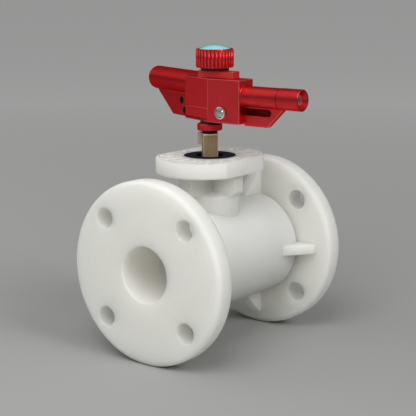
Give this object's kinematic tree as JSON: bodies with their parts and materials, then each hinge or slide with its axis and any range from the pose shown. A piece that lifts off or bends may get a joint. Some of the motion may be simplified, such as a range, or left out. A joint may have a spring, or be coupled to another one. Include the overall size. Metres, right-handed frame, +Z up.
{
  "type": "flanged ball valve",
  "caption": "Flanged plastic ball valve with ribbed neck and mounting pad, angled red quarter-turn handle, fluted clamp knob and release button.",
  "frame": {"origin": "centre of the flow bore on the face of the inlet flange", "axes": "+Y along the flow, from the inlet face into the valve; +Z up along the stem; +X to the right seen from the inlet"},
  "size_m": [0.1915, 0.186, 0.2715],
  "materials": {
    "white_plastic": "moulded, slightly translucent white thermoplastic",
    "seat_plastic": "white fluoropolymer",
    "black_rubber": "smooth elastomer",
    "navy_gland": "dark blue moulded ring",
    "stem_plastic": "brown filled engineering plastic, machined",
    "lug_plastic": "grey-beige plastic",
    "red_aluminium": "red anodised, satin",
    "black_steel": "black oxide",
    "bright_steel": "turned stainless steel",
    "cap_plastic": "glossy cyan cap"
  },
  "bodies": {
    "valve": {"valve_body": "white_plastic", "end_insert": "white_plastic", "insert_o_ring": "black_rubber", "inlet_seat": "seat_plastic", "outlet_seat": "seat_plastic", "inlet_seat_o_ring": "black_rubber", "outlet_seat_o_ring": "black_rubber", "thrust_washer": "seat_plastic", "gland_ring": "navy_gland", "gland_o_ring": "black_rubber"},
    "handle": {"ball": "white_plastic", "stem": "stem_plastic", "stem_o_rings": "black_rubber", "stop_lug": "lug_plastic", "drive_stud": "black_steel", "stud_pin": "bright_steel", "hub_collar": "red_aluminium", "collar_set_screw": "black_steel", "hub_washer": "black_rubber", "handle_block": "red_aluminium", "cover_plate": "red_aluminium", "left_grip_bar": "red_aluminium", "right_grip_bar": "red_aluminium", "right_grip_sleeve": "red_aluminium", "left_bar_bolt": "bright_steel", "right_bar_bolt": "bright_steel", "left_web": "red_aluminium", "web_liners": "black_rubber", "right_web": "red_aluminium", "button_spring": "bright_steel", "knob_plate": "red_aluminium", "plate_screws": "black_steel", "neck_ring": "black_rubber"},
    "knob": {"knob": "red_aluminium", "knob_cap": "cap_plastic", "knob_retainer": "bright_steel"},
    "plunger": {"clamp_plunger": "bright_steel"},
    "button": {"lock_button": "bright_steel", "button_clip": "bright_steel"}
  },
  "joints": [
    {"name": "handle_turn", "type": "hinge", "parent": "valve", "child": "handle", "pos_m": [0, 0.093, 0], "axis": [0, 0, 1], "range_deg": [0, 90]},
    {"name": "knob_turn", "type": "hinge", "parent": "handle", "child": "knob", "pos_m": [0.006, 0.093, 0.17], "axis": [0, 0, 1], "range_deg": [0, 360]},
    {"name": "plunger_lift", "type": "slide", "parent": "handle", "child": "plunger", "axis": [0, 0, 1], "range_m": [0, 0.00081], "stiffness_N_per_m": 0.01, "springref_m": 5.5816},
    {"name": "button_press", "type": "slide", "parent": "handle", "child": "button", "axis": [0, 1, 0], "range_m": [0, 0.0025], "stiffness_N_per_m": 600, "springref_m": -0.003, "deforming": ["button_spring"]}
  ],
  "couplings": [
    {"joint": "plunger_lift", "follows": "knob_turn", "m_per_rad": 0.00012732}
  ]
}
